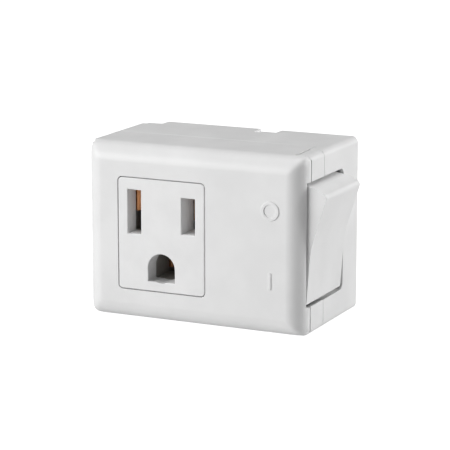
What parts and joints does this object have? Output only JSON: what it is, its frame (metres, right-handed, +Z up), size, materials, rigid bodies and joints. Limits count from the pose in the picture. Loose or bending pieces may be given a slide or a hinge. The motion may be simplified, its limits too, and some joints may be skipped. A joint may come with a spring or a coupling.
{
  "type": "switched plug-in outlet tap",
  "caption": "Plug-in tap with a grounded outlet in front, plug blades behind and a rocker switch on its side.",
  "frame": {"origin": "on the face that meets the wall plate, midway between the two plug blades", "axes": "+Y points into the wall along the blades, +X towards the rocker switch, +Z up, away from the ground pin"},
  "size_m": [0.0549, 0.0508, 0.0382],
  "materials": {
    "case_plastic": "fine satin moulded texture",
    "face_plastic": "fine satin moulded texture",
    "rocker_plastic": "smooth satin",
    "inner_plastic": "plain moulded",
    "contact_copper": "rolled copper alloy strip",
    "contact_silver": "silver contact alloy",
    "blade_brass": "stamped brass",
    "rivet_brass": "headed brass",
    "spring_steel": "drawn wire",
    "screw_steel": "zinc plated"
  },
  "bodies": {
    "case": {"front_cover": "case_plastic", "outlet_face": "face_plastic", "switch_frame": "case_plastic", "rear_housing": "case_plastic", "contact_carrier": "inner_plastic", "fixed_tip": "contact_silver", "fixed_terminal": "contact_copper", "common_terminal": "contact_copper", "hot_contact": "contact_copper", "neutral_contact": "contact_copper", "ground_contact": "contact_copper", "hot_blade": "blade_brass", "neutral_blade": "blade_brass", "ground_pin": "blade_brass", "blade_rivets": "rivet_brass", "case_screws": "screw_steel"},
    "rocker": {"rocker": "rocker_plastic", "plunger_spring": "spring_steel"},
    "plunger": {"plunger": "inner_plastic"},
    "contact_arm": {"rocking_contact": "contact_copper", "moving_tip": "contact_silver"}
  },
  "joints": [
    {"name": "rocker_tilt", "type": "hinge", "parent": "case", "child": "rocker", "pos_m": [0.0295, -0.01775, -0.00435], "axis": [0, -1, 0], "range_deg": [0, 22]},
    {"name": "contact_tilt", "type": "hinge", "parent": "case", "child": "contact_arm", "pos_m": [0.01722, -0.01775, -0.00435], "axis": [0, -1, 0], "range_deg": [-16, 0]},
    {"name": "plunger_slide", "type": "slide", "parent": "rocker", "child": "plunger", "axis": [0.9816, 0, -0.1908], "range_m": [0, 0.0008], "stiffness_N_per_m": 300, "springref_m": -0.003, "deforming": ["plunger_spring"]}
  ],
  "couplings": [
    {"joint": "contact_tilt", "follows": "rocker_tilt", "ratio": -0.72727}
  ]
}
